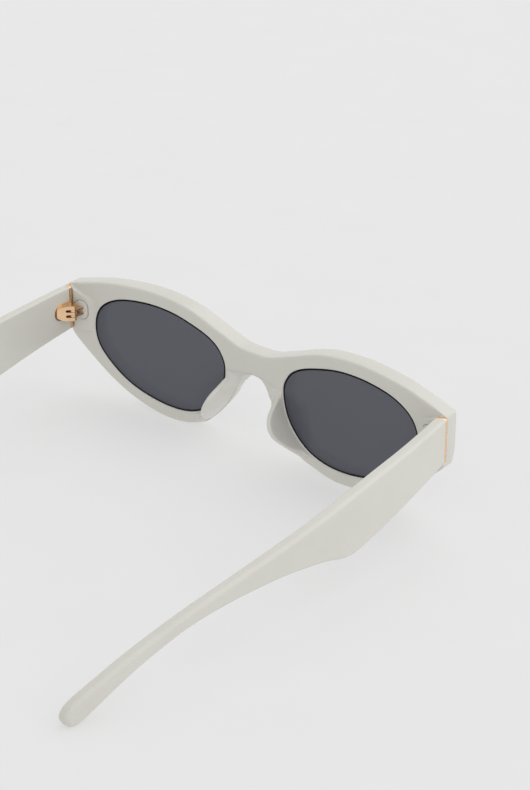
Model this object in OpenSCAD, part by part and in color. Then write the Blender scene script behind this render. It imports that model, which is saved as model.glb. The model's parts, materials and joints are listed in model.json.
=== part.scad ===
// Cat eye sunglasses: an acetate front and two folding temples, standing open on a flat surface.
// The front faces -Y and the temples run towards +Y. +X is the wearer's left.

/* [Front] */
// Overall width across the end pieces
front_w = 143.8; // [140:0.2:147]
// Thickness of the front at the bridge
front_t = 6; // [5.4:0.1:6.6]
// How far the back of the front bows rearward at its ends
back_bow = 3.7; // [3.3:0.1:4]
// How far the face of the front bows rearward at its ends
face_bow = 4.4; // [3.6:0.1:5.2]

/* [Lenses] */
// Thickness of a lens
lens_t = 1.8; // [1.6:0.1:2.2]
// Depth of the groove that holds a lens
groove_d = 0.6; // [0.4:0.1:0.8]
// Step from the back of the rim down to the lens
lens_recess = 0.25; // [0.2:0.05:0.5]

/* [Temples] */
// Reach of a temple behind the front
temple_reach = 146; // [140:0.5:150]
// Thickness of a temple
temple_t = 3.2; // [3:0.1:3.6]
// Thickness of the plate on the temple's front end
plate_t = 1.2; // [1:0.1:1.3]
// Width of the core wire, from top to bottom
wire_w = 2.2; // [1.6:0.2:2.4]
// Thickness of the core wire
wire_t = 1; // [0.8:0.1:1.2]

/* [Hinges] */
// Distance of the hinge axis from the middle plane
hinge_x = 66.9; // [66.8:0.1:67.1]
// Distance of the hinge axis behind the bridge's back face
hinge_y = 7.3; // [7.2:0.1:7.6]
// Height of the hinge block
hinge_h = 5; // [4.8:0.1:5.4]
// Radius of the knuckles
knuckle_r = 1.2; // [1.15:0.05:1.3]
// Radius of the screw's shaft
screw_r = 0.5; // [0.45:0.05:0.55]

/* [Hidden] */
$fn = 48;
slack = 0.03;         // clearance round a piece that is sunk into another
joint_gap = 0.1;      // gap between an end piece and a closed temple
run_gap = 0.05;       // radial clearance of the screw in the front's knuckles
side_gap = 0.07;      // clearance on each side of a knuckle
half_w = front_w / 2;
big = 60;

// Outline of the front, seen face on, as x and z. The origin is level with the bridge.
top_pts = [
    [-5.5, 10.4], [0, 10.1], [5.5, 10.4], [13, 13], [26, 17.7], [40, 19.2], [54, 18.2], [63, 16.4],
    [half_w, 14.1], [80, 11.9]
];
low_pts = [
    [half_w, 8], [half_w, 4], [71.4, -0.6], [69.6, -4.3], [57, -14.6], [45, -20.6], [32, -22.9],
    [21, -20.4], [15, -15.8], [10, -10], [6.6, -4], [4.6, 0], [2.8, 1.8], [0, 2.3], [-2.8, 1.8]
];
nose_draft = 12;      // slope of the walls beside the nose, which open towards the face
nose_pivot = 11;
// Edge of the aperture, clockwise from the nose
aperture_pts = [
    [11.1, 1], [12.8, 6.3], [16.4, 9.7], [22.3, 12.2], [32, 14.6], [42.5, 14.9], [53, 13],
    [59.8, 8.5], [62, 1.4], [59.6, -6.3], [50, -14.4], [38, -18.2], [27, -18.3], [18.7, -14.7],
    [13, -7.6]
];
rim_low = [32, -22.9];

// Raised block that carries the hinge, as x and z, and where the temple closes on it
block_pts = [[62.4, 0.5], [62.4, 10.4], [69.6, 13.7], [80, 14.2], [80, -0.8], [64, -0.8]];
block_in = 3.7;
block_y = 4.9;
close_y = 3.6;
mitre_x = half_w - temple_t;
block_x = 64;
block_turn = atan((block_y - block_in) / (mitre_x - block_x));

// Side outline of a temple, as y and z
temple_top = [
    [-16, 14.9], [2, 14.1], [20, 13.1], [40, 12], [60, 9.8], [80, 7.5], [95, 5.5], [110, 2.8],
    [125, -1.3], [138, -6.4], [143.4, -9]
];
temple_tip = [[145.5, -11], [temple_reach, -13], [144.6, -15.2]];
temple_low = [
    [141.4, -14.8], [133, -10.3], [124, -6], [110, -1.6], [95, -0.2], [78, -1], [62, -3.9],
    [53, -6.8], [47, -7.1], [40, -6], [20, -2.7], [2, 0.1], [-16, 2.9]
];
tip_low = [144, -15.4];
splay = 0.115;         // outward slope of a temple at the front
curl = 0.00138;       // inward curve of a temple towards its tip
wire_pts = [
    [-8, 2], [5.8, 2], [20, 2.2], [40, 2.7], [60, 2.9], [80, 3.2], [95, 2.6], [110, 0.7],
    [124, -3.5], [136, -9.7], [142, -12.9]
];

// Hinge, heights measured from its middle
hinge_z = 6.65;
block_front = 6.7;
block_rear = 12;
block_sink = 0.9;
flange_r = 2.75;      // the block's flange lies nearly flush in the temple
flange_rear = 12.6;
flange_proud = 0.2;
slot_end = 9.8;
knuckle_t = 0.78;
knuckle_z = 0.9;      // height of each front knuckle above or below the hinge's middle
base_x = 66.2;
base_r = 2;
base_h = 5.8;
base_skin = 0.25;     // depth of the base's face under the raised block
base_deep = 1.1;
boss_r = 2.3;
boss_h = 6.4;
boss_proud = 0.3;
boss_gap = 0.22;
boss_gap_d = 0.45;
leaf_x = [64.9, 67.7];
head_r = 0.85;
head_h = 0.4;
stud_r = 0.5;
stud_l = 1.1;

// Nose pad: its crest as x, y, z. Its foot runs along the edge of the front on the nose side and
// along the aperture on the lens side, as x, z and the height of the wall that rises from it.
crest_pts = [
    [9.4, 0.15, 1.8], [9.5, 0.5, 0.4], [9.8, 1.5, -1.2], [10.3, 3.9, -2.8], [11.2, 7.3, -5.2],
    [12.4, 8.6, -8], [13.9, 8.1, -10.8], [16.1, 5.7, -13.8], [19.2, 2.2, -17.2],
    [21.2, 0.9, -18.5], [23.8, 0.55, -19.4]
];
foot_nose = [
    [6.4, 1.2, 0.05], [5.3, -0.3, 0.05], [5.7, -2, 0.1], [6.9, -4.1, 0.15], [8.4, -6.8, 0.2],
    [10.2, -9.9, 0.3], [12.5, -12.9, 0.5], [15.4, -15.9, 0.8], [18.9, -18.8, 0.7],
    [21.2, -20.2, 0.4], [23.4, -21.1, 0.1]
];
foot_lens = [
    [10.5, 2, 0.05], [10.6, 0.6, 0.1], [10.8, -1, 0.3], [11.1, -3, 0.6], [11.9, -5.6, 0.7],
    [13.2, -8.6, 0.8], [15.1, -11.6, 1], [17.9, -14.6, 1], [20.3, -16.4, 0.8],
    [22.1, -17.4, 0.4], [24.4, -18.2, 0.1]
];
crest_t = 1.5;

// Standing position: both rims and both tips touch the ground
function back_y(x) = back_bow * pow(x / half_w, 2);
function face_y(x) = face_bow * pow(x / half_w, 2) - front_t;
lean = atan((tip_low[1] - rim_low[1]) / (tip_low[0] - back_y(rim_low[0])));
lift = back_y(rim_low[0]) * sin(lean) - rim_low[1] * cos(lean);
reach_back = temple_reach * cos(lean) + temple_tip[1][1] * sin(lean);
reach_face = face_y(low_pts[7][0]) * cos(lean) + low_pts[7][1] * sin(lean);
mid_y = (reach_back + reach_face) / 2;

module stand() {
    translate([0, -mid_y, lift])
        rotate([-lean, 0, 0])
            children();
}

// Builds the left piece, or its mirror image on the right
module side(s) {
    stand()
        mirror([s < 0 ? 1 : 0, 0, 0])
            children();
}

// Smooth curve through points: the first and last only steer an open curve's ends
function blend(a, b, c, d, t) =
    0.5 * (2 * b + (c - a) * t + (2 * a - 5 * b + 4 * c - d) * t * t
    + (3 * b - a - 3 * c + d) * t * t * t);
function open_curve(p, n) = concat(
    [for (i = [1:len(p) - 3]) for (k = [0:n - 1]) blend(p[i - 1], p[i], p[i + 1], p[i + 2], k / n)],
    [p[len(p) - 2]]
);
function at(p, i) = p[(i + len(p)) % len(p)];
function closed_curve(p, n) = [
    for (i = [0:len(p) - 1]) for (k = [0:n - 1])
        blend(at(p, i - 1), p[i], at(p, i + 1), at(p, i + 2), k / n)
];
// Clockwise loop moved outward by d
function grown(p, d) = [
    for (i = [0:len(p) - 1])
        let (v = at(p, i + 1) - at(p, i - 1))
            p[i] + d * [-v[1], v[0]] / norm(v)
];
function flipped(p) = [for (i = [len(p) - 1:-1:0]) [-p[i][0], p[i][1]]];
function moved_y(p, d) = [for (q = p) [q[0], q[1] + d]];

top_curve = open_curve(top_pts, 4);
low_curve = open_curve(low_pts, 4);
half_outline = concat(top_curve, low_curve);
outline = concat(half_outline, [for (q = flipped(half_outline)) if (q[0] < -0.01) q]);
aperture = closed_curve(aperture_pts, 4);

// Extrudes an x, z outline along Y
module face_on(d = big) {
    rotate([90, 0, 0])
        linear_extrude(height = d, center = true)
            children();
}

// Extrudes an x, y outline along Z
module seen_from_above(h = big) {
    linear_extrude(height = h, center = true)
        children();
}

// Extrudes a y, z outline along X, over the left side only
module side_on() {
    rotate([90, 0, 90])
        linear_extrude(height = 2 * big)
            children();
}

// Band between two curves of x, for x from a to b
module band(a, b, back, face) {
    n = 40;
    xs = [for (i = [0:n]) a + (b - a) * i / n];
    rear = [for (x = xs) [x, back_y(x) + back]];
    front = [for (i = [n:-1:0]) [xs[i], (face == undef ? face_y(xs[i]) : back_y(xs[i]) + face)]];
    polygon(concat(rear, front));
}

module lens_solid(g, extra) {
    intersection() {
        face_on()
            polygon(grown(aperture, g));
        seen_from_above()
            band(8, 66, extra - lens_recess, -lens_recess - lens_t - extra);
    }
}

module hinge_block() {
    intersection() {
        face_on()
            intersection() {
                polygon(outline);
                polygon(block_pts);
            }
        seen_from_above()
            polygon([
                [62, 0], [62, back_y(62) - 0.5], [62.4, back_y(62.4)], [block_x, block_in],
                [mitre_x, block_y], [half_w, close_y], [half_w, 0]
            ]);
    }
}

module front_body() {
    intersection() {
        face_on()
            polygon(outline);
        seen_from_above()
            band(-half_w, half_w, 0);
    }
    for (s = [0, 1])
        mirror([s, 0, 0]) {
            hinge_block();
            on_block()
                oval_bar(boss_r, boss_h, -1, boss_proud);
        }
}

// Wedge that opens the wall beside the nose towards the face
module nose_wedge() {
    wall = [for (q = low_curve) if (q[0] > 4.6 && q[0] < 26 && q[1] < -4) q];
    translate([nose_pivot, 0, 0])
        rotate([0, 0, nose_draft])
            translate([-nose_pivot, 0, 0])
                face_on()
                    polygon(concat([[26, -30]], wall, [[2, 0.5], [2, -30]]));
}

// Thin groove round the boss over the front hinge
module boss_groove() {
    on_block()
        difference() {
            oval_bar(boss_r + boss_gap, boss_h + 2 * boss_gap, -boss_gap_d, 2);
            oval_bar(boss_r, boss_h, -1, 3);
        }
}

// The front: a bowed slab with the hinge blocks raised on its back
module front_frame() {
    color("ivory")
        stand()
            difference() {
                front_body();
                for (s = [0, 1])
                    mirror([s, 0, 0]) {
                        face_on()
                            polygon(aperture);
                        lens_solid(groove_d + slack, slack);
                        hinge_base(slack);
                        hinge_leaves(slack);
                        boss_groove();
                        nose_wedge();
                    }
            }
}

module lens(s) {
    color([0.3, 0.31, 0.34, 0.8])
        side(s)
            lens_solid(groove_d, 0);
}

// One cross-section of a pad, from its foot on the nose side over the crest to the lens side
glue = 0.02;
function on_back(p, h) = [p[0], back_y(p[0]) + glue + h, p[1]];
function crest_edge(i, s) =
    let (d = foot_lens[i] - foot_nose[i], u = [d[0], d[1]] / norm([d[0], d[1]]) * crest_t / 2 * s)
        crest_pts[i] + [u[0], -0.1, u[1]];
function pad_section(i) =
    let (a = foot_nose[i], b = foot_lens[i], wall = on_back(a, a[2]), edge = crest_edge(i, -1))
        [
            on_back(a, 0), wall, (wall + edge) / 2 + [0, 0.06 * crest_pts[i][1], 0], edge,
            crest_pts[i] + [0, 0.2, 0], crest_edge(i, 1), on_back(b, b[2]), on_back(b, 0)
        ];

module pad_solid() {
    rows = len(crest_pts);
    cols = 8;
    points = [for (i = [0:rows - 1]) for (q = pad_section(i)) q];
    walls = [
        for (i = [0:rows - 2]) for (j = [0:cols - 1])
            let (a = i * cols + j, b = i * cols + (j + 1) % cols)
                for (f = [[a, b, b + cols], [a, b + cols, a + cols]]) f
    ];
    start = [for (j = [cols - 1:-1:0]) j];
    finish = [for (j = [0:cols - 1]) (rows - 1) * cols + j];
    polyhedron(points = points, faces = concat(walls, [start, finish]), convexity = 4);
}

module nose_pad(s) {
    color("linen")
        side(s)
            pad_solid();
}

// Surface of the raised block, which slopes rearward towards the temple
function block_at(x) = block_in + (x - block_x) * tan(block_turn);

// Bar with half round ends, tall along Y, between two heights
module oval_bar(r, tall, low, high) {
    for (s = [-1, 1])
        translate([0, s * (tall / 2 - r), low])
            cylinder(r = r, h = high - low);
    translate([-r, r - tall / 2, low])
        cube([2 * r, tall - 2 * r, high - low]);
}

// Puts a piece on the raised block, behind the front hinge's base, with +Z rearward
module on_block() {
    translate([base_x, block_at(base_x), hinge_z])
        rotate([-90, 0, block_turn])
            children();
}

// Base and studs of the front hinge, or the socket for them under the surface
module hinge_base(g) {
    on_block() {
        oval_bar(base_r + g, base_h + 2 * g, -base_deep - g, g - base_skin);
        for (s = [-1, 1])
            translate([0, s * 1.6, -base_deep - stud_l])
                cylinder(r = stud_r + g, h = stud_l + 0.5);
    }
}

// The two leaves that reach from the base to the knuckles, or the slots for them
module hinge_leaves(g) {
    for (d = [-1, 1])
        translate([0, 0, hinge_z + d * knuckle_z - knuckle_t / 2 - g])
            linear_extrude(height = knuckle_t + 2 * g)
                polygon([
                    [leaf_x[0] - g, block_at(leaf_x[0]) - 0.6],
                    [hinge_x - knuckle_r - g, hinge_y],
                    [hinge_x + knuckle_r + g, hinge_y],
                    [leaf_x[1] + g, block_at(leaf_x[1]) - 0.6]
                ]);
}

module front_hinge(s) {
    color("goldenrod")
        side(s)
            difference() {
                union() {
                    hinge_base(0);
                    hinge_leaves(0);
                    for (d = [-1, 1])
                        translate([hinge_x, hinge_y, hinge_z + d * knuckle_z - knuckle_t / 2])
                            cylinder(r = knuckle_r, h = knuckle_t);
                }
                translate([hinge_x, hinge_y, hinge_z - hinge_h])
                    cylinder(r = screw_r + run_gap, h = 2 * hinge_h);
            }
}

function temple_x(y) = half_w + splay * y - curl * y * y;

// Face of the temple that the hinge lies on
function seat_face(y) = temple_x(y) - temple_t;
seat_x = seat_face(hinge_y);

// Bar along X whose rear end is half round, starting at x = low
module rear_round(r, rear, low) {
    translate([low, 0, hinge_z])
        rotate([0, 90, 0]) {
            translate([0, rear - r, 0])
                cylinder(r = r, h = 20);
            translate([-r, 0, 0])
                cube([2 * r, rear - r, 20]);
        }
}

// Block of the temple hinge with its flange, or the pocket for them. A ramp at 45 degrees rises
// from the temple's face to the knuckles.
module temple_block(g) {
    ramp = [hinge_x, hinge_y] + knuckle_r * [-sin(45), sin(45)];
    deep = seat_x + block_sink + g;
    intersection() {
        rear_round(hinge_h / 2 + g, block_rear + g, hinge_x - 5);
        seen_from_above()
            polygon([
                [hinge_x, hinge_y - knuckle_r], ramp, [deep, ramp[1] + deep - ramp[0]],
                [deep, block_front - g], [seat_x - 0.1, block_front - g]
            ]);
    }
    intersection() {
        rear_round(flange_r + g, flange_rear + g, hinge_x);
        seen_from_above()
            polygon([
                [seat_face(block_front) - flange_proud, block_front - g],
                [seat_face(flange_rear + 1) - flange_proud, flange_rear + 1],
                [deep, flange_rear + 1], [deep, block_front - g]
            ]);
    }
}

module temple_studs(g) {
    for (y = [block_front + 1.6, flange_rear - 2])
        translate([seat_x + block_sink - 0.2, y, hinge_z])
            rotate([0, 90, 0])
                cylinder(r = stud_r + g, h = stud_l + 0.2 + g);
}

// Slot for a front knuckle, with a round rear end
module slot_cut() {
    intersection() {
        rear_round(knuckle_t / 2 + side_gap, slot_end, hinge_x - 3);
        seen_from_above()
            polygon([
                [hinge_x - 3, hinge_y - 3], [seat_x, hinge_y - 3], [seat_x, slot_end + 1],
                [hinge_x - 3, slot_end + 1]
            ]);
    }
}

module temple_hinge(s) {
    color("goldenrod")
        side(s)
            difference() {
                union() {
                    temple_block(0);
                    translate([hinge_x, hinge_y, hinge_z - hinge_h / 2])
                        cylinder(r = knuckle_r, h = hinge_h);
                    temple_studs(0);
                }
                for (d = [-1, 1])
                    translate([0, 0, d * knuckle_z])
                        slot_cut();
                translate([hinge_x, hinge_y, hinge_z - hinge_h])
                    cylinder(r = screw_r + 0.01, h = 2 * hinge_h);
                translate([hinge_x, hinge_y, hinge_z + hinge_h / 2 - head_h])
                    cylinder(r = head_r + slack, h = hinge_h);
            }
}

module hinge_screw(s) {
    color("gold")
        side(s)
            translate([hinge_x, hinge_y, hinge_z])
                difference() {
                    union() {
                        translate([0, 0, -hinge_h / 2])
                            cylinder(r = screw_r, h = hinge_h - 0.2);
                        translate([0, 0, hinge_h / 2 - head_h + 0.02])
                            cylinder(r = head_r, h = head_h);
                    }
                    translate([-head_r - 1, -0.12, hinge_h / 2 - 0.2])
                        cube([2 * head_r + 2, 0.24, 1]);
                }
}

side_outline = concat(
    open_curve(concat(temple_top, temple_tip), 4),
    open_curve(concat([temple_tip[1], temple_tip[2]], temple_low), 4)
);

// Plan of a strip of the temple whose faces lie at depths a and b from its outer face.
// It starts on the mitred joint, moved back by shift, and ends at y = finish.
function joint_y(d) = close_y + (block_y - close_y) * d / temple_t;
function plan(a, b, shift, finish) =
    let (n = 30)
        concat(
            [for (i = [0:n]) let (y = joint_y(a) + shift, v = y + (finish - y) * i / n)
                [temple_x(v) - a, v]],
            [for (i = [n:-1:0]) let (y = joint_y(b) + shift, v = y + (finish - y) * i / n)
                [temple_x(v) - b, v]]
        );

module temple_strip(shift, finish) {
    intersection() {
        side_on()
            polygon(side_outline);
        seen_from_above(2 * big)
            polygon(plan(0, temple_t, shift, finish));
    }
}

// Strip down the middle of the temple, or the channel for it
module wire_solid(g) {
    mid = open_curve(wire_pts, 4);
    intersection() {
        side_on()
            polygon(concat(
                moved_y(mid, wire_w / 2 + g),
                [for (i = [len(mid) - 1:-1:0]) mid[i] - [0, wire_w / 2 + g]]
            ));
        seen_from_above(2 * big)
            polygon(plan((temple_t - wire_t) / 2 - g, (temple_t + wire_t) / 2 + g,
                joint_gap + plate_t + (g > 0 ? -1 : 1), 136 + g));
    }
}

plate_pins = [[5, 1.5], [11.6, 1.5]];

module pins(r) {
    for (p = plate_pins)
        translate([temple_x(joint_y(p[1])) - p[1], joint_y(p[1]) + joint_gap + plate_t - 0.3, p[0]])
            rotate([-90, 0, 0])
                cylinder(r = r, h = 1.5);
}

module temple(s) {
    color("ivory")
        side(s)
            difference() {
                temple_strip(joint_gap + plate_t, 150);
                wire_solid(slack);
                temple_block(slack);
                temple_studs(slack);
                pins(0.4 + slack);
            }
}

module end_plate(s) {
    color("gold")
        side(s) {
            intersection() {
                temple_strip(joint_gap, 60);
                seen_from_above()
                    polygon([
                        [half_w + 5, joint_y(-5) + joint_gap + plate_t],
                        [half_w + 5, 0],
                        [half_w - 9, 0],
                        [half_w - 9, joint_y(9) + joint_gap + plate_t]
                    ]);
            }
            pins(0.4);
        }
}

module core_wire(s) {
    color("silver")
        side(s)
            wire_solid(0);
}

front_frame();
lens(1);  // lens_left
lens(-1);  // lens_right
nose_pad(1);  // nose_pad_left
nose_pad(-1);  // nose_pad_right
front_hinge(1);  // front_hinge_left
front_hinge(-1);  // front_hinge_right
temple_hinge(1);  // temple_hinge_left
temple_hinge(-1);  // temple_hinge_right
hinge_screw(1);  // hinge_screw_left
hinge_screw(-1);  // hinge_screw_right
temple(1);  // temple_left
temple(-1);  // temple_right
end_plate(1);  // end_plate_left
end_plate(-1);  // end_plate_right
core_wire(1);  // core_wire_left
core_wire(-1);  // core_wire_right
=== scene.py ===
import json
import math
import bmesh
import bpy
import numpy as np
from mathutils import Matrix, Vector


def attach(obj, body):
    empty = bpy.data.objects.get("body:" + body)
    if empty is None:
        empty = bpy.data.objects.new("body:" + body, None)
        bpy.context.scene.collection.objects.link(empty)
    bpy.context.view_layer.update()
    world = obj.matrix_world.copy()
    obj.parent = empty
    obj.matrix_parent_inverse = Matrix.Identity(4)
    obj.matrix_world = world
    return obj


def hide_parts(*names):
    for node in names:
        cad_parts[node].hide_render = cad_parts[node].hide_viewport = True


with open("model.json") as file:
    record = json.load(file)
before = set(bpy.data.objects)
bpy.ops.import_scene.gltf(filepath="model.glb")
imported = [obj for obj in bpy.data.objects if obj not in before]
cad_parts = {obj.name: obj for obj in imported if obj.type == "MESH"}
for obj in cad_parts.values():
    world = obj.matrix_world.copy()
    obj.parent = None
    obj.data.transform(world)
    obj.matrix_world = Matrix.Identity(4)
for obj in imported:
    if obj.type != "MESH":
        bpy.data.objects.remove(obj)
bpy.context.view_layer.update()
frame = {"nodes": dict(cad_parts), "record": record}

# Shape of the sunglasses in millimetres, in the front's own frame: x to the wearer's left, y rearward
# from the bridge's back face, z up. These are the driving sizes and points of the CAD model.

# Front: half its width, its thickness, and how far its back and its face bow rearward at the ends
HALF_W = 71.9
FRONT_T = 6.0
BACK_BOW = 3.7
FACE_BOW = 4.4

# The walls beside the nose open towards the face, between these heights and distances from the middle
NOSE_DRAFT = math.radians(12)
DRAFT_Z = (-0.8, -4)
DRAFT_X = (27, 20)

# Lens, the groove that holds it, and the width of the ring along its edge that is coloured near-black
# as painted shade of the groove
LENS_T = 1.8
GROOVE_D = 0.6
LENS_RECESS = 0.25
LENS_CHAMFER = 0.12
BEVEL_W = 0.6
SLACK = 0.03

# Temple: how far it reaches, its thickness, its curve in plan and the gold plate on its front end.
# The skin keeps its smooth outer face within the CAD model's faceted one.
TEMPLE_REACH = 146.0
TEMPLE_T = 3.2
SPLAY = 0.115
CURL = 0.00138
SKIN = 0.01
PLATE_T = 1.2
PLATE_BEVEL = 0.07
PLATE_CHORD = 0.02
PLATE_INSET = 0.4
JOINT_GAP = 0.1

# Raised block that carries the hinge: it slopes rearward and ends in a mitre for the temple.
# Its inner edge is upright, its top edge rises outward, and a soft slope runs down to the rim.
BLOCK_X = 64.0
BLOCK_IN = 3.7
BLOCK_Y = 4.9
CLOSE_Y = 3.6
BLOCK_SLOPE = (BLOCK_Y - BLOCK_IN) / (HALF_W - TEMPLE_T - BLOCK_X)
BLOCK_EDGE = 62.4
BLOCK_TOP = 10.4
BLOCK_RISE = (7.2, 3.3)
BLOCK_LOW = -0.8
BLOCK_CRISP = (60.5, 65.5)
BLOCK_WIDE = (1.5, 0.35)
BLOCK_SOFT = 0.4
BLOCK_SPREAD = (-0.35, 0.9)

# Hinge: its axis, its knuckles and its screw. The head's underside is a little above its seat.
HINGE = (66.9, 7.3, 6.65)
HINGE_H = 5.0
KNUCKLE_R = 1.2
KNUCKLE_T = 0.78
KNUCKLE_Z = 0.9
SIDE_GAP = 0.07
SCREW_R = 0.5
HEAD_R = 0.85
HEAD_H = 0.4
HEAD_LIFT = 0.02
DRIVE_W = 0.26
DRIVE_D = 0.2
BORE_PLAY = 0.05
SCREW_PLAY = 0.01

# Cutters reach past what they cut: above and below a hinge, before a slot, past the ends of the
# screw's slot and out of the groove. The last is the stretch in x that holds a whole hinge.
PAST_HINGE = 4
PAST_SLOT = 3
PAST_DRIVE = 1
PAST_GROOVE = 2
HINGE_SPAN = (60, 80)

# Temple half of the hinge: a block with a round rear end on a thin flange, with two slots
BLOCK_FRONT = 6.7
BLOCK_REAR = 12.0
BLOCK_SINK = 0.9
FLANGE_R = 2.75
FLANGE_REAR = 12.6
FLANGE_PROUD = 0.2
FLANGE_SINK = 0.8
SLOT_END = 9.8

# Front half of the hinge: an oval base in the acetate, under a raised oval with a groove round it
LEAF_X = (64.9, 67.7)
LEAF_SINK = 0.6
BASE_X = 66.2
BASE_R = 2.0
BASE_H = 5.8
BASE_SKIN = 0.25
BASE_DEEP = 1.1
BOSS_R = 2.3
BOSS_H = 6.4
BOSS_PROUD = 0.3
BOSS_SINK = 0.6
BOSS_GAP = 0.22
BOSS_GAP_D = 0.45

# Outlines as points on smooth curves, x and z. In all but the aperture, which is closed, the first
# and last points only steer the ends.
# Front: top edge from the middle out, then the end and the bottom edge back to the middle.
TOP_PTS = [
    (-5.5, 10.4), (0, 10.1), (5.5, 10.4), (13, 13), (26, 17.7), (40, 19.2), (54, 18.2), (63, 16.4),
    (HALF_W, 14.1), (80, 11.9),
]
LOW_PTS = [
    (HALF_W, 8), (HALF_W, 4), (71.4, -0.6), (69.6, -4.3), (57, -14.6), (45, -20.6), (32, -22.9),
    (21, -20.4), (15, -15.8), (10, -10), (6.6, -4), (4.6, 0), (2.8, 1.8), (0, 2.3), (-2.8, 1.8),
]
APERTURE_PTS = [
    (11.1, 1), (12.8, 6.3), (16.4, 9.7), (22.3, 12.2), (32, 14.6), (42.5, 14.9), (53, 13),
    (59.8, 8.5), (62, 1.4), (59.6, -6.3), (50, -14.4), (38, -18.2), (27, -18.3), (18.7, -14.7),
    (13, -7.6),
]
APERTURE_MID = (36.5, -1.5)

# Temple: top edge to the tip, round the tip, and the bottom edge back, y and z
TEMPLE_TOP = [
    (-16, 14.9), (2, 14.1), (20, 13.1), (40, 12), (60, 9.8), (80, 7.5), (95, 5.5), (110, 2.8),
    (125, -1.3), (138, -6.4), (143.4, -9),
]
TEMPLE_TIP = [(145.5, -11), (TEMPLE_REACH, -13), (144.6, -15.2)]
TEMPLE_LOW = [
    (141.4, -14.8), (133, -10.3), (124, -6), (110, -1.6), (95, -0.2), (78, -1), (62, -3.9),
    (53, -6.8), (47, -7.1), (40, -6), (20, -2.7), (2, 0.1), (-16, 2.9),
]

# Nose pad: thickness and roundness of its crest, which is thinner where it's low, how far its nose
# side bulges for its height, and the rounding of its two walls. Its foot is sunk in the front, and
# its two ends dip under the front's back face over so many sections.
CREST_T = 1.5
CREST_ROUND = 0.8
CREST_MIN = 0.1
CREST_TAPER = 2.5
PAD_BULGE = 0.035
PAD_WALL_R = (0.25, 0.3)
FOOT_SINK = 0.3
PAD_SINK = 0.14
PAD_FADE = (14, 12)
CREST_PTS = [
    (9.4, 0.15, 1.8), (9.5, 0.5, 0.4), (9.8, 1.5, -1.2), (10.3, 3.9, -2.8), (11.2, 7.3, -5.2),
    (12.4, 8.6, -8), (13.9, 8.1, -10.8), (16.1, 5.7, -13.8), (19.2, 2.2, -17.2),
    (21.2, 0.9, -18.5), (23.8, 0.55, -19.4),
]
# Its foot on the nose side and on the lens side: x, z and the height of the wall on it
FOOT_NOSE = [
    (6.4, 1.2, 0.05), (5.3, -0.3, 0.05), (5.7, -2, 0.1), (6.9, -4.1, 0.15), (8.4, -6.8, 0.2),
    (10.2, -9.9, 0.3), (12.5, -12.9, 0.5), (15.4, -15.9, 0.8), (18.9, -18.8, 0.7),
    (21.2, -20.2, 0.4), (23.4, -21.1, 0.1),
]
FOOT_LENS = [
    (10.5, 2, 0.05), (10.6, 0.6, 0.1), (10.8, -1, 0.3), (11.1, -3, 0.6), (11.9, -5.6, 0.7),
    (13.2, -8.6, 0.8), (15.1, -11.6, 1), (17.9, -14.6, 1), (20.3, -16.4, 0.8),
    (22.1, -17.4, 0.4), (24.4, -18.2, 0.1),
]

# Rounding of edges. The back edge is crisp beside the temple's joint and at the nose pads, each
# between two distances from the middle and two heights. A temple's edges round off towards its tip.
EDGE_R = 0.7
END_R = 0.7
CRISP_R = 0.15
JOINT_CRISP = ((66.5, 69), (-2.5, -0.5))
PAD_CRISP = ((21, 18), (2.5, 0.8))
RIM_REAR_R = 0.3
RIM_FACE_R = 0.5
TEMPLE_OUTER_R = (0.9, 1.15)
TEMPLE_INNER_R = (0.4, 0.9)
TEMPLE_SLIM = (30, 125)

# Steps round a quarter circle in degrees, the same round an edge in radians after its first, and
# how the flat faces are divided from the outline to the aperture and from edge to edge of a temple
QUARTER = (0, 15, 30, 45, 60, 75, 90)
ROUND = [math.radians(v) for v in QUARTER[1:]]
ACROSS = (0, 0.02, 0.05, 0.1, 0.15, 0.2, 0.25, 0.3, 0.36, 0.42, 0.48, 0.54, 0.6, 0.66, 0.72, 0.78,
          0.84, 0.9, 0.95, 0.98, 1)
TEMPLE_ACROSS = (0.04, 0.12, 0.25, 0.4, 0.55, 0.7, 0.85, 0.96)

# Points on each stretch of a curve, length of a step along the outline, and rings on a lens face
CURVE_N = 16
RIM_N = 24
LENS_N = 10
PAD_N = 8
EDGE_STEP = 0.6
LENS_RINGS = 16

# The temple's edges in steps: down to the tip, and round the tip's last millimetres
TEMPLE_N = 110
TIP_N = 26
TIP_LENGTH = 9


def stand_matrix():
    """Front's own frame in millimetres to the row frame in metres, read from the left hinge."""
    joint = frame["record"]["behaviour"]["joints"][0]
    lean = math.atan2(joint["axis"][1], joint["axis"][2])
    turn = Matrix.Rotation(-lean, 4, "X")
    place = Matrix.Translation(joint["pos_m"])
    return place @ turn @ Matrix.Scale(0.001, 4) @ Matrix.Translation([-v for v in HINGE])


STAND = stand_matrix()


# ---------------------------------------------------------------- curves

def blend(a, b, c, d, t):
    """Point between b and c on a Catmull-Rom curve through four points."""
    return 0.5 * (2 * b + (c - a) * t + (2 * a - 5 * b + 4 * c - d) * t * t
                  + (3 * b - a - 3 * c + d) * t ** 3)


def open_curve(points, n):
    """Smooth curve through all but the first and last point."""
    p = np.array(points, float)
    out = [blend(p[i - 1], p[i], p[i + 1], p[i + 2], k / n)
           for i in range(1, len(p) - 2) for k in range(n)]
    return np.array(out + [p[-2]])


def closed_curve(points, n):
    """Smooth closed curve through all points."""
    p = np.array(points, float)
    m = len(p)
    return np.array([blend(p[i - 1], p[i], p[(i + 1) % m], p[(i + 2) % m], k / n)
                     for i in range(m) for k in range(n)])


def length_along(p):
    """Distance along a path at each of its points."""
    return np.concatenate([[0], np.cumsum(np.linalg.norm(np.diff(p, axis=0), axis=1))])


def resample(p, step):
    """Points at equal distances along p, about step apart, ends kept."""
    s = length_along(p)
    at = np.linspace(0, s[-1], max(2, round(s[-1] / step) + 1))
    return np.stack([np.interp(at, s, p[:, i]) for i in range(p.shape[1])], axis=1)


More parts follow.
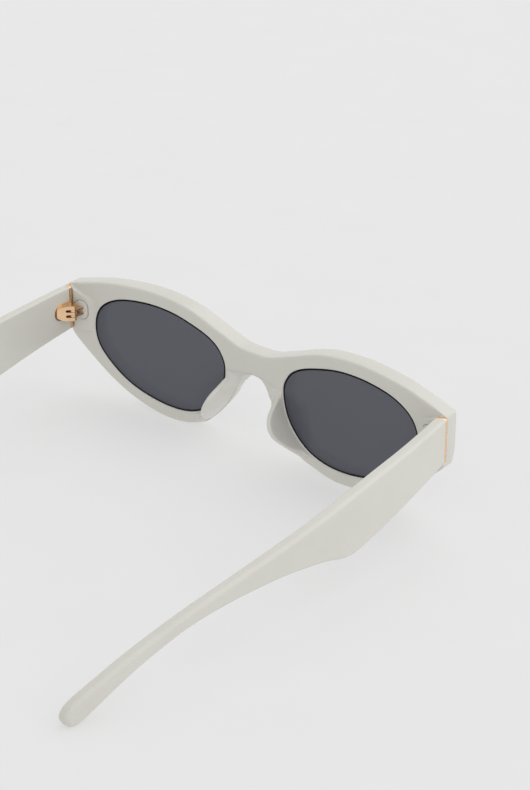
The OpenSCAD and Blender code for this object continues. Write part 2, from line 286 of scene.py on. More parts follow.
def outward(p, closed=False):
    """Unit normals to the left of a path, which is outward on a clockwise one."""
    if closed:
        v = np.roll(p, -1, axis=0) - np.roll(p, 1, axis=0)
    else:
        v = np.gradient(p, axis=0)
    n = np.stack([-v[:, 1], v[:, 0]], axis=1)
    return n / np.linalg.norm(n, axis=1)[:, None]


def fillet(before, corner, after, radius, n):
    """Arc of n + 1 points that rounds a corner."""
    b, c, a = (np.array(v, float) for v in (before, corner, after))
    u = (b - c) / np.linalg.norm(b - c)
    w = (a - c) / np.linalg.norm(a - c)
    half = math.acos(float(np.clip(u @ w, -1, 1))) / 2
    mid = (u + w) / np.linalg.norm(u + w)
    centre = c + mid * radius / math.sin(half)
    start = c + u * radius / math.tan(half) - centre
    end = c + w * radius / math.tan(half) - centre
    sweep = math.pi - 2 * half
    return np.array([centre + (math.sin(sweep * (1 - k / n)) * start + math.sin(sweep * k / n) * end)
                     / math.sin(sweep) for k in range(n + 1)])


def smooth(lo, hi, v):
    """Soft step from 0 at lo to 1 at hi. With lo above hi it runs the other way."""
    t = np.clip((v - lo) / (hi - lo), 0, 1)
    return t * t * (3 - 2 * t)


# ---------------------------------------------------------------- meshes

# Points closer than this become one: in millimetres in a solid to carve, in metres in a piece
WELD_SOLID = 1e-4
WELD_PIECE = 1e-6


def add_piece(name, verts, faces, material, body, node, slot, mirrored=False, angle=None):
    """Makes a smooth-shaded mesh piece from points in the front's own frame."""
    verts = np.array(verts, float)
    if mirrored:
        verts = verts * [-1, 1, 1]
    mesh = bpy.data.meshes.new(name)
    mesh.from_pydata([STAND @ Vector(v) for v in verts], [], faces)
    bm = bmesh.new()
    bm.from_mesh(mesh)
    bmesh.ops.remove_doubles(bm, verts=bm.verts, dist=WELD_PIECE)
    bmesh.ops.recalc_face_normals(bm, faces=bm.faces)
    bm.to_mesh(mesh)
    bm.free()
    mesh.materials.append(material)
    mesh.polygons.foreach_set("use_smooth", [True] * len(mesh.polygons))
    if angle:
        mesh.set_sharp_from_angle(angle=math.radians(angle))
    piece = bpy.data.objects.new(name, mesh)
    bpy.context.scene.collection.objects.link(piece)
    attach(piece, body)
    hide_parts(node)
    return piece


def strips(rows, closed):
    """Quads between neighbouring rows of vertex numbers. Rows are closed loops if closed."""
    faces = []
    for a, b in zip(rows, rows[1:]):
        n = len(a)
        for j in range(n if closed else n - 1):
            k = (j + 1) % n
            faces.append((a[j], a[k], b[k], b[j]))
    return faces


# ---------------------------------------------------------------- front

def back_y(x):
    """Back surface of the front, away from the hinge blocks."""
    return BACK_BOW * (x / HALF_W) ** 2


def front_y(p):
    """Face of the front, which looks away from the wearer."""
    return FACE_BOW * (p[:, 0] / HALF_W) ** 2 - FRONT_T


def block_at(x):
    """Height of the raised hinge block, which slopes rearward towards the temple."""
    return BLOCK_IN + (x - BLOCK_X) * BLOCK_SLOPE


def block_mask(x, z):
    """1 on the raised hinge block, 0 on the rim, with a slope between that is crisper outside."""
    run, rise = BLOCK_RISE
    wide = BLOCK_WIDE[0] + (BLOCK_WIDE[1] - BLOCK_WIDE[0]) * smooth(*BLOCK_CRISP, x)
    inside = (
        x - BLOCK_EDGE,
        ((x - BLOCK_EDGE) * rise - (z - BLOCK_TOP) * run) / math.hypot(run, rise),
        z - BLOCK_LOW,
    )
    near = -BLOCK_SOFT * np.log(sum(np.exp(-v / BLOCK_SOFT) for v in inside))
    return smooth(BLOCK_SPREAD[0] * wide, BLOCK_SPREAD[1] * wide, near)


def rear_y(p):
    """Back surface of the front, with the hinge block and its mitred seat for the temple."""
    x = p[:, 0]
    mitre = BLOCK_Y + (CLOSE_Y - BLOCK_Y) * (x - HALF_W + TEMPLE_T) / TEMPLE_T
    top = np.minimum(block_at(x), mitre)
    return back_y(x) + (top - back_y(x)) * block_mask(x, p[:, 1])


def opened(edge):
    """Outline at the face: the walls beside the nose slope outward from the back to the face."""
    shift = FRONT_T * math.tan(NOSE_DRAFT) * smooth(*DRAFT_Z, edge[:, 1]) * smooth(*DRAFT_X, edge[:, 0])
    return edge + np.stack([shift, 0 * shift], axis=1)


def half_outline():
    """Left half of the front's outline, from the top of the bridge round to its underside."""
    end = LOW_PTS[1]
    top = open_curve(TOP_PTS, CURVE_N)
    corner = fillet(top[-4], top[-1], end, END_R, 5)
    top = top[top[:, 0] < corner[0][0] - 0.05]
    low = open_curve(LOW_PTS, CURVE_N)
    edge = np.concatenate([
        resample(np.vstack([top, corner[:1]]), EDGE_STEP)[:-1],
        corner[:-1],
        resample(np.array([corner[-1], end]), 0.5)[:-1],
        resample(low, EDGE_STEP),
    ])
    edge[[0, -1], 0] = 0
    normal = outward(edge)
    normal[0] = (0, 1)
    normal[-1] = (0, -1)
    return edge, normal


def aperture_at(angles):
    """Aperture edge and its outward normals at angles seen from the aperture's middle."""
    curve = closed_curve(APERTURE_PTS, RIM_N)
    normal = outward(curve, True)
    angle = np.unwrap(np.arctan2(*(curve - APERTURE_MID).T[::-1]))
    order = np.argsort(angle)
    turns = np.concatenate([angle[order] + k * 2 * math.pi for k in (-2, -1, 0, 1, 2)])
    known = np.tile(np.hstack([curve, normal])[order], (5, 1))
    got = np.stack([np.interp(angles, turns, known[:, i]) for i in range(4)], axis=1)
    return got[:, :2], got[:, 2:] / np.linalg.norm(got[:, 2:], axis=1)[:, None]


class Rings:
    """Collects rows of vertices for a lofted mesh."""

    def __init__(self):
        self.verts = []

    def add(self, xz, y):
        """Adds a row of points at one y, or at a y each. Returns its vertex numbers."""
        start = len(self.verts)
        self.verts.extend((p[0], v, p[1]) for p, v in zip(xz, np.broadcast_to(y, len(xz))))
        return list(range(start, len(self.verts)))


def front_mesh():
    """Left half of the front: rings that run round the aperture, open on the middle plane."""
    edge, edge_n = half_outline()
    n = len(edge)
    crisp = [smooth(*x, edge[:, 0]) * smooth(*z, edge[:, 1]) for x, z in (JOINT_CRISP, PAD_CRISP)]
    r_rear = (EDGE_R - (EDGE_R - CRISP_R) * np.maximum(*crisp))[:, None]
    r_face = np.full((n, 1), EDGE_R)
    heights = np.linspace(edge[-1, 1] + EDGE_R, edge[0, 1] - EDGE_R, 9)[1:-1]
    bridge = np.stack([np.zeros(len(heights)), heights], axis=1)
    angles = np.arctan2(*(np.vstack([edge, bridge]) - APERTURE_MID).T[::-1])
    rim, rim_n = aperture_at(np.unwrap(angles))
    rows = Rings()

    def side(line, surface, radius, rim_r):
        outer = np.vstack([line - edge_n * radius, bridge])
        inner = rim + rim_n * rim_r
        full = []
        for w in ACROSS:
            xz = outer + (inner - outer) * w
            full.append(rows.add(xz, surface(xz)))
        return full

    def rolled(line, line_n, surface, radius, sign, steps):
        out = []
        for t in steps:
            xz = line + line_n * radius * (1 - math.sin(t))
            out.append(rows.add(xz, surface(xz) + sign * np.ravel(radius) * (1 - math.cos(t))))
        return out

    edge_face = opened(edge)
    rear = side(edge, rear_y, r_rear, RIM_REAR_R)
    face = side(edge_face, front_y, r_face, RIM_FACE_R)
    wall = rolled(edge, -edge_n, rear_y, r_rear, -1, ROUND)
    wall += rolled(edge_face, -edge_n, front_y, r_face, 1, ROUND[::-1])
    hole = rolled(rim, rim_n, rear_y, RIM_REAR_R, -1, ROUND)
    seat = back_y(rim[:, 0]) - LENS_RECESS
    deep = rim + rim_n * (GROOVE_D + SLACK)
    for line, depth in ((rim, -SLACK), (deep, -SLACK), (deep, LENS_T + SLACK), (rim, LENS_T + SLACK)):
        hole.append(rows.add(line, seat - depth))
    hole += rolled(rim, rim_n, front_y, RIM_FACE_R, 1, ROUND[::-1])
    faces = strips(rear, True) + strips(face, True)
    faces += strips([rear[0][:n]] + wall + [face[0][:n]], False)
    faces += strips([rear[-1]] + hole + [face[-1]], True)
    return rows.verts, faces


def both_sides(verts, faces):
    """A half mesh and its mirror image."""
    other = [(-x, y, z) for x, y, z in verts]
    m = len(verts)
    return verts + other, faces + [tuple(m + v for v in f[::-1]) for f in faces]


def lens_mesh():
    """Left lens: two parallel bowed faces with a bevelled edge that sits in the rim's groove."""
    curve = closed_curve(APERTURE_PTS, LENS_N)
    normal = outward(curve, True)
    mid = np.array(APERTURE_MID)
    shrinks = np.linspace(0.04, 0.97, LENS_RINGS)
    seated = GROOVE_D - LENS_CHAMFER
    rows = Rings()
    out = []

    def ring(grow, depth, shrink=1.0):
        xz = mid + (curve + normal * grow - mid) * shrink
        out.append(rows.add(xz, back_y(xz[:, 0]) - LENS_RECESS - depth))

    for k in shrinks:
        ring(-BEVEL_W, 0, k)
    for grow, depth in ((-BEVEL_W, 0), (seated, 0), (GROOVE_D, LENS_CHAMFER)):
        ring(grow, depth)
    for grow, depth in ((GROOVE_D, LENS_T - LENS_CHAMFER), (seated, LENS_T), (-BEVEL_W, LENS_T)):
        ring(grow, depth)
    for k in shrinks[::-1]:
        ring(-BEVEL_W, LENS_T, k)
    return rows.verts, strips(out, True) + [tuple(out[0]), tuple(out[-1][::-1])]


def paint_groove_shade(piece):
    """Gives the ring on the lens's rear a near-black material, painted shade of the groove that holds
    it: two strips past the clear part.
    """
    piece.data.materials.append(BEVEL)
    rim = LENS_N * len(APERTURE_PTS)
    first = LENS_RINGS * rim
    for face in piece.data.polygons:
        if first <= face.index < first + 2 * rim:
            face.material_index = 1


# ---------------------------------------------------------------- temples

def temple_x(y):
    """Outer face of the left temple in plan."""
    return HALF_W - SKIN + SPLAY * y - CURL * y * y


def joint_y(depth):
    """Where the mitred joint lies, at a depth in from the temple's outer face."""
    return CLOSE_Y + (BLOCK_Y - CLOSE_Y) * depth / TEMPLE_T


def temple_edges():
    """Top and bottom edge of a temple from the joint to the end of its tip, as y and z."""
    top = open_curve(TEMPLE_TOP + TEMPLE_TIP, CURVE_N)
    low = open_curve(TEMPLE_TIP + TEMPLE_LOW, CURVE_N)[::-1]
    start = CLOSE_Y + JOINT_GAP + PLATE_T
    out = []
    for path in (top, low):
        near = path[:3 * CURVE_N]
        first = [start, np.interp(start, near[:, 0], near[:, 1])]
        path = np.vstack([[first], path[path[:, 0] > start + 0.2]])
        s = length_along(path)
        bend = s[-1] - TIP_LENGTH
        at = np.concatenate([np.linspace(0, bend, TEMPLE_N)[:-1], np.linspace(bend, s[-1], TIP_N)])
        out.append(np.stack([np.interp(at, s, path[:, i]) for i in (0, 1)], axis=1))
    return out


def temple_point(yz, depth):
    """Point at a depth in from the outer face. Points near the joint follow its mitre."""
    y = yz[:, 0]
    y = y + (joint_y(depth) - CLOSE_Y) * (1 - (y - CLOSE_Y) / (TEMPLE_REACH - CLOSE_Y))
    return np.stack([temple_x(y) - depth, y, yz[:, 1]], axis=1)


def temple_radii(y):
    """Edge radii on the outer and on the inner side, larger towards the tip."""
    slim = smooth(*TEMPLE_SLIM, y)
    return tuple(a + (b - a) * slim for a, b in (TEMPLE_OUTER_R, TEMPLE_INNER_R))


def temple_mesh():
    """Left temple: its edge rolled round the outline, and both faces filled in by a ladder."""
    top, low = temple_edges()
    j = len(top)
    path = np.vstack([top, low[-2::-1]])
    normal = outward(path)
    normal[j - 1] = (1, 0)
    r_out, r_in = (r[:, None] for r in temple_radii(path[:, 0]))
    verts = []
    rings = []

    def add(points):
        start = len(verts)
        verts.extend(map(tuple, points))
        return list(range(start, len(verts)))

    steps = [0.0] + ROUND
    for radius, outer in ((r_out, True), (r_in, False)):
        for t in steps if outer else steps[::-1]:
            yz = path - normal * radius * (1 - math.sin(t))
            lift = np.ravel(radius) * (1 - math.cos(t))
            rings.append(add(temple_point(yz, lift if outer else TEMPLE_T - lift)))
    faces = strips(rings, False)

    def ladder(ring, depth):
        pts = np.array([verts[v] for v in ring])
        a = pts[:j]
        b = pts[::-1][:j]
        cols = [ring[:j]]
        for w in TEMPLE_ACROSS:
            rung = a + (b - a) * w
            rung[:, 0] = temple_x(rung[:, 1]) - depth
            cols.append(add(rung))
        return cols + [ring[::-1][:j]]

    outer = ladder(rings[0], 0)
    inner = ladder(rings[-1], TEMPLE_T)
    faces += strips(outer, False) + strips(inner[::-1], False)
    cap = [c[0] for c in outer] + [r[-1] for r in rings[1:-1]]
    cap += [c[0] for c in inner[::-1]] + [r[0] for r in rings[-2:0:-1]]
    faces.append(tuple(cap[::-1]))
    return verts, faces


def plate_mesh():
    """Thin plate across the front end of a temple, with the temple's rounded section."""
    top, low = temple_edges()
    z = (top[0, 1], low[0, 1])
    r_out, r_in = temple_radii(CLOSE_Y)
    loop = []
    for depth, height, radius, start in (
            (0, z[0], r_out, 0), (TEMPLE_T, z[0], r_in, 90),
            (TEMPLE_T, z[1], r_in, 180), (0, z[1], r_out, 270)):
        sign_d = 1 if depth == 0 else -1
        sign_z = -1 if height == z[0] else 1
        for degrees in QUARTER:
            t = math.radians(start + degrees)
            loop.append((depth + sign_d * radius - radius * math.cos(t),
                         height + sign_z * radius + radius * math.sin(t)))
    loop = np.array(loop)
    normal = outward(loop, True)
    rows = []
    verts = []
    bevel = PLATE_BEVEL
    chord = PLATE_CHORD
    for inset, shift in ((PLATE_INSET, 0), (bevel, 0), (chord, chord), (0, bevel), (0, PLATE_T - bevel),
                         (chord, PLATE_T - chord), (bevel, PLATE_T), (PLATE_INSET, PLATE_T)):
        p = loop - normal * inset
        y = joint_y(p[:, 0]) + JOINT_GAP + shift
        rows.append(list(range(len(verts), len(verts) + len(p))))
        verts.extend(zip(temple_x(y) - p[:, 0], y, p[:, 1]))
    return verts, strips(rows, True) + [tuple(rows[0]), tuple(rows[-1][::-1])]


# ---------------------------------------------------------------- hinges

def prism(outline, low, high, turn=None):
    """Solid between two heights over a counter-clockwise outline, turned by a matrix."""
    n = len(outline)
    verts = [Vector((u, v, w)) for w in (low, high) for u, v in outline]
    if turn:
        verts = [turn @ v for v in verts]
    faces = [tuple(range(n))[::-1], tuple(range(n, 2 * n))]
    faces += [(k, (k + 1) % n, n + (k + 1) % n, n + k) for k in range(n)]
    return [tuple(v) for v in verts], faces


def arc(centre, radius, start, end, n):
    """Points on an arc, angles in degrees."""
    angles = [math.radians(start + (end - start) * k / n) for k in range(n + 1)]
    return [(centre[0] + radius * math.cos(a), centre[1] + radius * math.sin(a)) for a in angles]


def rod(radius, low, high):
    """Round bar on the hinge's axis."""
    return prism(arc(HINGE, radius, 0, 360, 40)[:-1], low, high)


def carve(first, steps):
    """Runs a chain of boolean steps on closed solids. Returns the result's points and faces."""
    made = []

    def temporary(shape):
        mesh = bpy.data.meshes.new("step")
        mesh.from_pydata(shape[0], [], shape[1])
        closed = bmesh.new()
        closed.from_mesh(mesh)
        bmesh.ops.remove_doubles(closed, verts=closed.verts, dist=WELD_SOLID)
        bmesh.ops.recalc_face_normals(closed, faces=closed.faces)
        closed.to_mesh(mesh)
        closed.free()
        thing = bpy.data.objects.new("step", mesh)
        bpy.context.scene.collection.objects.link(thing)
        made.append(thing)
        return thing

    body = temporary(first)
    for operation, shape in steps:
        cut = body.modifiers.new("cut", "BOOLEAN")
        cut.operation = operation
        cut.solver = "EXACT"
        cut.object = temporary(shape)
    done = body.evaluated_get(bpy.context.evaluated_depsgraph_get()).to_mesh()
    verts = [tuple(v.co) for v in done.vertices]
    faces = [tuple(p.vertices) for p in done.polygons]
    for thing in made:
        bpy.data.objects.remove(thing)
    return verts, faces


def oval(radius, tall):
    """Counter-clockwise outline with half round ends, tall along its second axis."""
    reach = tall / 2 - radius
    return arc((0, reach), radius, 0, 180, 24) + arc((0, -reach), radius, 180, 360, 24)


def on_block():
    """Matrix of the front hinge's place on the raised block, with its third axis into the front."""
    place = Matrix.Translation((BASE_X, block_at(BASE_X), HINGE[2]))
    turn = Matrix.Rotation(math.atan(BLOCK_SLOPE), 4, "Z")
    return place @ turn @ Matrix.Rotation(math.radians(90), 4, "X")


def front_hinge_mesh():
    """Left front hinge: a base sunk in the acetate, and two leaves that reach back to knuckles."""
    z = HINGE[2]
    steps = []
    for sign in (-1, 1):
        middle = z + sign * KNUCKLE_Z
        leaf = [(x, block_at(x) - LEAF_SINK) for x in LEAF_X] + arc(HINGE, KNUCKLE_R, 0, 180, 20)
        steps.append(("UNION", prism(leaf, middle - KNUCKLE_T / 2, middle + KNUCKLE_T / 2)))
    steps.append(("DIFFERENCE", rod(SCREW_R + BORE_PLAY, z - PAST_HINGE, z + PAST_HINGE)))
    return carve(prism(oval(BASE_R, BASE_H), BASE_SKIN, BASE_DEEP, on_block()), steps)


def boss_mesh():
    """Raised oval of acetate over the base of the left front hinge."""
    return carve(prism(oval(BOSS_R, BOSS_H), -BOSS_PROUD, BOSS_SINK, on_block()), [])


def seat_face(y):
    """Inner face of the temple, where its hinge lies."""
    return temple_x(y) - TEMPLE_T


def rear_round(radius, rear, front, middle):
    """Outline in y and z from front to a half round rear end."""
    ends = [(front, middle + radius), (front, middle - radius)]
    return arc((rear - radius, middle), radius, -90, 90, 28) + ends


def across(slope=0, offset=0):
    """Matrix that stands a y, z outline up along x, sheared by the slope."""
    return Matrix(((slope, 0, 1, offset), (1, 0, 0, 0), (0, 1, 0, 0), (0, 0, 0, 1)))


def temple_hinge_mesh():
    """Left temple hinge: a round-ended block on a flange, with a ramp up to three knuckles."""
    x, y, z = HINGE
    half = HINGE_H / 2
    seat = seat_face(y)
    deep = seat + BLOCK_SINK
    corner = (x - KNUCKLE_R * math.sqrt(0.5), y + KNUCKLE_R * math.sqrt(0.5))
    plan = arc(HINGE, KNUCKLE_R, 135, 270, 18) + [(seat - 0.1, BLOCK_FRONT), (deep, BLOCK_FRONT)]
    plan.append((deep, corner[1] + deep - corner[0]))
    slope = (seat_face(FLANGE_REAR) - seat_face(BLOCK_FRONT)) / (FLANGE_REAR - BLOCK_FRONT)
    lean = across(slope, seat_face(BLOCK_FRONT) - slope * BLOCK_FRONT)
    flange = rear_round(FLANGE_R, FLANGE_REAR, BLOCK_FRONT, z)
    steps = [
        ("INTERSECT", prism(rear_round(half, BLOCK_REAR, 0, z), *HINGE_SPAN, across())),
        ("UNION", rod(KNUCKLE_R, z - half, z + half)),
        ("UNION", prism(flange, -FLANGE_PROUD, FLANGE_SINK, lean)),
    ]
    gap = KNUCKLE_T / 2 + SIDE_GAP
    for sign in (-1, 1):
        slot = rear_round(gap, SLOT_END, y - PAST_SLOT, z + sign * KNUCKLE_Z)
        steps.append(("DIFFERENCE", prism(slot, x - PAST_SLOT, seat, across())))
    steps.append(("DIFFERENCE", rod(SCREW_R + SCREW_PLAY, z - PAST_HINGE, z + PAST_HINGE)))
    steps.append(("DIFFERENCE", rod(HEAD_R + SLACK, z + half - HEAD_H, z + PAST_HINGE)))
    return carve(prism(plan, z - half, z + half), steps)


def screw_mesh():
    """Hinge screw with a slotted head."""
    x, y, z = HINGE
    top = z + HINGE_H / 2
    wide = DRIVE_W / 2
    far = PAST_DRIVE
    slot = [(x - far, y - wide), (x + far, y - wide), (x + far, y + wide), (x - far, y + wide)]
    return carve(rod(SCREW_R, z - HINGE_H / 2, top - DRIVE_D), [
        ("UNION", rod(HEAD_R, top - HEAD_H + HEAD_LIFT, top)),
        ("DIFFERENCE", prism(slot, top - DRIVE_D, top + far)),
    ])


# ---------------------------------------------------------------- nose pads

def pad_section(crest, nose, lens):
    """One cross-section, from the foot on the nose side over the crest to the lens side."""
    u = (lens[:2] - nose[:2]) / np.linalg.norm(lens[:2] - nose[:2])
    aside = np.array([u[0], 0, u[1]])
    up = np.array([0, 1, 0])
    half = min(CREST_T / 2, max(CREST_MIN, (crest[1] - back_y(crest[0])) / CREST_TAPER))
    foot_a = np.array([nose[0], back_y(nose[0]) - FOOT_SINK, nose[1]])
    foot_b = np.array([lens[0], back_y(lens[0]) - FOOT_SINK, lens[1]])
    wall_a = foot_a + up * (nose[2] + FOOT_SINK)
    wall_b = foot_b + up * (lens[2] + FOOT_SINK)
    rise = up * half * CREST_ROUND
    left = crest - aside * half - rise
    right = crest + aside * half - rise
    line = [foot_a]
    line += list(fillet(foot_a, wall_a, left, min(PAD_WALL_R[0], nose[2]), 4))
    for w in np.linspace(0, 1, 9)[1:-1]:
        bulge = PAD_BULGE * crest[1] * math.sin(math.pi * w)
        line.append(wall_a + (left - wall_a) * w + (up - aside * 0.5) * bulge)
    for t in np.linspace(0, math.pi, 9):
        line.append((left + right) / 2 - aside * half * math.cos(t) + rise * math.sin(t))
    for w in np.linspace(0, 1, 6)[1:-1]:
        line.append(right + (wall_b - right) * w)
    line += list(fillet(right, wall_b, foot_b, min(PAD_WALL_R[1], lens[2]), 4))
    return line + [foot_b]


def pad_mesh():
    """Left pad: a fin whose sides run flush into the nose wall and the edge of the aperture."""
    paths = [open_curve([p[0]] + p + [p[-1]], PAD_N) for p in (CREST_PTS, FOOT_NOSE, FOOT_LENS)]
    verts = []
    rows = []
    last = len(paths[0]) - 1
    for i, section in enumerate(zip(*paths)):
        line = pad_section(*section)
        sink = 1 - smooth(0, PAD_FADE[0], i) * smooth(last, last - PAD_FADE[1], i)
        line = [p - (0, PAD_SINK * sink, 0) for p in line]
        rows.append(list(range(len(verts), len(verts) + len(line))))
        verts.extend(map(tuple, line))
    return verts, strips(rows, True) + [tuple(rows[0]), tuple(rows[-1][::-1])]


# ---------------------------------------------------------------- materials

# Each colour wanders between two close tones, the darker one first
CREAM_TINT = ((0.65, 0.638, 0.584, 1), (0.668, 0.658, 0.604, 1))
PAD_TINT = ((0.675, 0.665, 0.618, 1), (0.69, 0.682, 0.634, 1))
SMOKE_TINT = ((0.098, 0.101, 0.126, 1), (0.102, 0.105, 0.132, 1))
# The ring along a lens's edge: near-black painted shade of the groove
GROOVE_SHADE_TINT = ((0.003, 0.003, 0.004, 1), (0.006, 0.006, 0.007, 1))
GOLD_TINT = ((0.84, 0.56, 0.33, 1), (0.92, 0.64, 0.40, 1))


def new_material(name):
    """New material with its nodes, links and main shader."""
    material = bpy.data.materials.new(name)
    material.use_nodes = True
    nodes = material.node_tree.nodes
    return material, nodes, material.node_tree.links, nodes["Principled BSDF"]


def noise(nodes, links, scale, detail, stretch=(1, 1, 1)):
    """Noise in the object's own metres. Scale is in cells per metre."""
    place = nodes.new("ShaderNodeTexCoord")
    turn = nodes.new("ShaderNodeMapping")
    turn.inputs["Scale"].default_value = stretch
    tex = nodes.new("ShaderNodeTexNoise")
    tex.inputs["Scale"].default_value = scale
    tex.inputs["Detail"].default_value = detail
    links.new(place.outputs["Object"], turn.inputs["Vector"])
    links.new(turn.outputs["Vector"], tex.inputs["Vector"])
    return tex


def ramp(nodes, links, source, stops):
    """Colour or grey between the stops, driven by a noise."""
    node = nodes.new("ShaderNodeValToRGB")
    node.color_ramp.elements[0].position = stops[0][0]
    node.color_ramp.elements[0].color = stops[0][1]
    node.color_ramp.elements[1].position = stops[1][0]
    node.color_ramp.elements[1].color = stops[1][1]
    links.new(source.outputs["Fac"], node.inputs["Fac"])
    return node


def grey(v):
    """Opaque grey as a colour."""
    return (v, v, v, 1)


def bump(nodes, links, shader, source, strength, distance):
    """Fine relief in a surface, driven by a noise. Distance is in metres."""
    node = nodes.new("ShaderNodeBump")
    node.inputs["Strength"].default_value = strength
    node.inputs["Distance"].default_value = distance
    links.new(source.outputs["Fac"], node.inputs["Height"])
    links.new(node.outputs["Normal"], shader.inputs["Normal"])


def acetate(name, dark, light):
    """Polished cellulose acetate: faint clouding in the colour and a hand-polished surface."""
    material, nodes, links, shader = new_material(name)
    cloud = noise(nodes, links, 60, 3)
    tint = ramp(nodes, links, cloud, ((0.35, dark), (0.65, light)))
    links.new(tint.outputs["Color"], shader.inputs["Base Color"])
    polish = noise(nodes, links, 180, 4)
    gloss = ramp(nodes, links, polish, ((0.3, grey(0.20)), (0.7, grey(0.27))))
    links.new(gloss.outputs["Color"], shader.inputs["Roughness"])
    shader.inputs["IOR"].default_value = 1.48
    shader.inputs["Subsurface Weight"].default_value = 0.15
    shader.inputs["Subsurface Radius"].default_value = (1, 1, 1)
    shader.inputs["Subsurface Scale"].default_value = 0.0012
    bump(nodes, links, shader, noise(nodes, links, 400, 2), 0.03, 0.00005)
    return material


def smoke_lens():
    """Grey tinted lens, partly see-through, with a faint variation in the dye."""
    material, nodes, links, shader = new_material("smoke_lens")
    dye = noise(nodes, links, 25, 2)
    tint = ramp(nodes, links, dye, ((0.3, SMOKE_TINT[0]), (0.7, SMOKE_TINT[1])))
    links.new(tint.outputs["Color"], shader.inputs["Base Color"])
    polish = noise(nodes, links, 300, 2)
    gloss = ramp(nodes, links, polish, ((0.3, grey(0.08)), (0.7, grey(0.11))))
    links.new(gloss.outputs["Color"], shader.inputs["Roughness"])
    shader.inputs["Specular IOR Level"].default_value = 0.25
    shader.inputs["Alpha"].default_value = 0.84
    return material


def lens_bevel():
    """Near-black colour for the lens's ground edge: painted shade of the groove that holds it."""
    material, nodes, links, shader = new_material("lens_bevel")
    grain = noise(nodes, links, 2500, 2)
    tint = ramp(nodes, links, grain, ((0.3, GROOVE_SHADE_TINT[0]), (0.7, GROOVE_SHADE_TINT[1])))
    links.new(tint.outputs["Color"], shader.inputs["Base Color"])
    gloss = ramp(nodes, links, grain, ((0.3, grey(0.45)), (0.7, grey(0.6))))
    links.new(gloss.outputs["Color"], shader.inputs["Roughness"])
    shader.inputs["Specular IOR Level"].default_value = 0.1
    return material


def gold():
    """Rose gold plating with fine polishing lines along the parts."""
    material, nodes, links, shader = new_material("gold_plating")
    tone = noise(nodes, links, 250, 3)
    tint = ramp(nodes, links, tone, ((0.3, GOLD_TINT[0]), (0.7, GOLD_TINT[1])))
    links.new(tint.outputs["Color"], shader.inputs["Base Color"])
    lines = noise(nodes, links, 1500, 3, (1, 0.15, 1))
    gloss = ramp(nodes, links, lines, ((0.3, grey(0.18)), (0.7, grey(0.30))))
    links.new(gloss.outputs["Color"], shader.inputs["Roughness"])
    shader.inputs["Metallic"].default_value = 1
    bump(nodes, links, shader, lines, 0.1, 0.00002)
    return material


def wire_steel():
    """Drawn steel strip: lines along its length."""
    material, nodes, links, shader = new_material("drawn_steel")
    lines = noise(nodes, links, 3000, 4, (1, 0.05, 1))
    tint = ramp(nodes, links, lines, ((0.3, grey(0.45)), (0.7, grey(0.6))))
    links.new(tint.outputs["Color"], shader.inputs["Base Color"])
    gloss = ramp(nodes, links, lines, ((0.3, grey(0.25)), (0.7, grey(0.45))))
    links.new(gloss.outputs["Color"], shader.inputs["Roughness"])
    shader.inputs["Metallic"].default_value = 1
    return material


CREAM = acetate("cream_acetate", *CREAM_TINT)
PAD_CREAM = acetate("pad_acetate", *PAD_TINT)
SMOKE = smoke_lens()
# Near-black painted shade for the ring along each lens's edge
BEVEL = lens_bevel()
GOLD = gold()
STEEL = wire_steel()


# ---------------------------------------------------------------- pieces

# Widths in metres of the rounded edges on the raised ovals and on the metal
BOSS_EDGE = 0.00015
FRONT_HINGE_EDGE = 0.0001
TEMPLE_HINGE_EDGE = 0.00016
SCREW_EDGE = 0.00006


def soften(piece, width):
    """Rounds the sharp edges of a machined piece."""
    edge = piece.modifiers.new("edges", "BEVEL")
    edge.width = width
    edge.segments = 3
    edge.limit_method = "ANGLE"
    edge.angle_limit = math.radians(35)
    edge.harden_normals = True


def build_front():
    """Both halves of the front in one piece, with a groove round each raised oval."""
    groove = oval(BOSS_R + BOSS_GAP, BOSS_H + 2 * BOSS_GAP)
    cuts = []
    for mirror in (1, -1):
        turn = Matrix.Diagonal((mirror, 1, 1, 1)) @ on_block()
        cuts.append(("DIFFERENCE", prism(groove, -PAST_GROOVE, BOSS_GAP_D, turn)))
    verts, faces = carve(both_sides(*front_mesh()), cuts)
    add_piece("front_acetate", verts, faces, CREAM, "front", "front_frame", "acetate", angle=40)


def build_side(side):
    """Everything that comes in a left and a right copy."""
    right = side == "right"
    arm = f"temple_{side}_arm"
    lens = add_piece(f"lens_{side}_smoke", *lens_mesh(), SMOKE, "front", f"lens_{side}", "lens",
                     right, 30)
    # The ring along the lens's edge gets the near-black painted shade
    paint_groove_shade(lens)
    boss = add_piece(f"hinge_boss_{side}", *boss_mesh(), CREAM, "front", "front_frame", "acetate",
                     right)
    soften(boss, BOSS_EDGE)
    add_piece(f"nose_pad_{side}_fin", *pad_mesh(), PAD_CREAM, "front", f"nose_pad_{side}",
              "pad_acetate", right, 50)
    add_piece(f"temple_{side}_acetate", *temple_mesh(), CREAM, arm, f"temple_{side}", "acetate",
              right, 40)
    add_piece(f"end_plate_{side}_gold", *plate_mesh(), GOLD, arm, f"end_plate_{side}", "gold_metal",
              right, 40)
    metal = (
        (f"front_hinge_{side}", front_hinge_mesh, "front", FRONT_HINGE_EDGE),
        (f"temple_hinge_{side}", temple_hinge_mesh, arm, TEMPLE_HINGE_EDGE),
        (f"hinge_screw_{side}", screw_mesh, arm, SCREW_EDGE),
    )
    for node, shape, body, width in metal:
        piece = add_piece(node + "_metal", *shape(), GOLD, body, node, "gold_metal", right)
        soften(piece, width)
    for slot in frame["nodes"][f"core_wire_{side}"].material_slots:
        slot.material = STEEL


build_front()
for name in ("left", "right"):
    build_side(name)


# ---------------------------------------------------------------- studio

# Level of the white surroundings and how it rises along each axis, then the floor's grey, its glow
# and half its width in metres
LIGHT_LEVEL = 0.92
LIGHT_FALL = (-0.26, -0.2, 0.02)
FLOOR_TONE = 0.3
FLOOR_GLOW = 0.49
FLOOR_HALF = 4


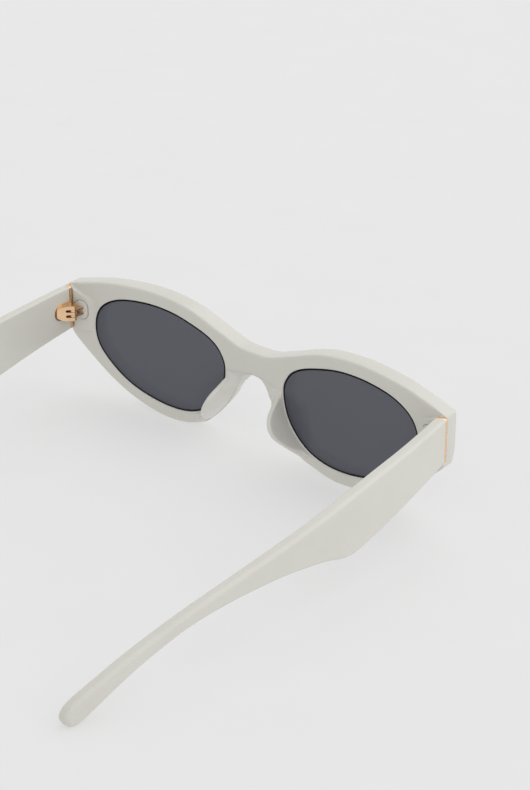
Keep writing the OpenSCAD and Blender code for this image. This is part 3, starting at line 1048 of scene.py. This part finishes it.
def build_floor():
    """Flat floor of pale paper that glows a little, like a light table."""
    material, nodes, links, shader = new_material("pale_paper")
    grain = noise(nodes, links, 40, 2)
    tint = ramp(nodes, links, grain, ((0.3, grey(FLOOR_TONE)), (0.7, grey(FLOOR_TONE + 0.01))))
    links.new(tint.outputs["Color"], shader.inputs["Base Color"])
    shader.inputs["Roughness"].default_value = 0.9
    shader.inputs["Specular IOR Level"].default_value = 0.1
    shader.inputs["Emission Color"].default_value = grey(1)
    shader.inputs["Emission Strength"].default_value = FLOOR_GLOW
    mesh = bpy.data.meshes.new("floor")
    far = FLOOR_HALF
    mesh.from_pydata([(-far, -far, 0), (far, -far, 0), (far, far, 0), (-far, far, 0)], [],
                     [(0, 1, 2, 3)])
    mesh.materials.append(material)
    floor = bpy.data.objects.new("floor", mesh)
    bpy.context.scene.collection.objects.link(floor)


def add_softbox(name, place, aim, size, power):
    """Rectangular area light at a place, aimed at a point."""
    data = bpy.data.lights.new(name, "AREA")
    data.shape = "RECTANGLE"
    data.size, data.size_y = size
    data.energy = power
    lamp = bpy.data.objects.new(name, data)
    lamp.location = place
    lamp.rotation_euler = (Vector(aim) - Vector(place)).to_track_quat("-Z", "Y").to_euler()
    bpy.context.scene.collection.objects.link(lamp)


def build_light():
    """White studio, a little brighter from the front and from the wearer's right, and a softbox."""
    world = bpy.data.worlds.new("studio")
    world.use_nodes = True
    nodes = world.node_tree.nodes
    links = world.node_tree.links
    place = nodes.new("ShaderNodeTexCoord")
    fall = nodes.new("ShaderNodeVectorMath")
    fall.operation = "DOT_PRODUCT"
    fall.inputs[1].default_value = LIGHT_FALL
    level = nodes.new("ShaderNodeMath")
    level.inputs[1].default_value = LIGHT_LEVEL
    links.new(place.outputs["Generated"], fall.inputs[0])
    links.new(fall.outputs["Value"], level.inputs[0])
    nodes["Background"].inputs["Color"].default_value = (1, 1, 1, 1)
    links.new(level.outputs["Value"], nodes["Background"].inputs["Strength"])
    bpy.context.scene.world = world
    add_softbox("key", (-0.2, -0.9, 1.5), (0, 0, 0), (1.6, 1.2), 3)


def build_camera():
    """Above and behind the wearer's right shoulder, looking forward and left at the front."""
    place = Vector((-0.3596, 0.3899, 0.2994))
    aim = Vector((-0.0033, -0.0706, 0.0196))
    roll = math.radians(1.77)
    data = bpy.data.cameras.new("camera")
    data.sensor_fit = "VERTICAL"
    data.sensor_height = 36
    data.sensor_width = 36
    data.lens = 97.8
    data.clip_end = 20
    camera = bpy.data.objects.new("camera", data)
    turn = (aim - place).to_track_quat("-Z", "Y").to_matrix()
    camera.matrix_world = Matrix.Translation(place) @ (turn @ Matrix.Rotation(roll, 3, "Z")).to_4x4()
    bpy.context.scene.collection.objects.link(camera)
    bpy.context.scene.camera = camera


build_floor()
build_light()
build_camera()
bpy.context.scene.view_settings.view_transform = "Standard"
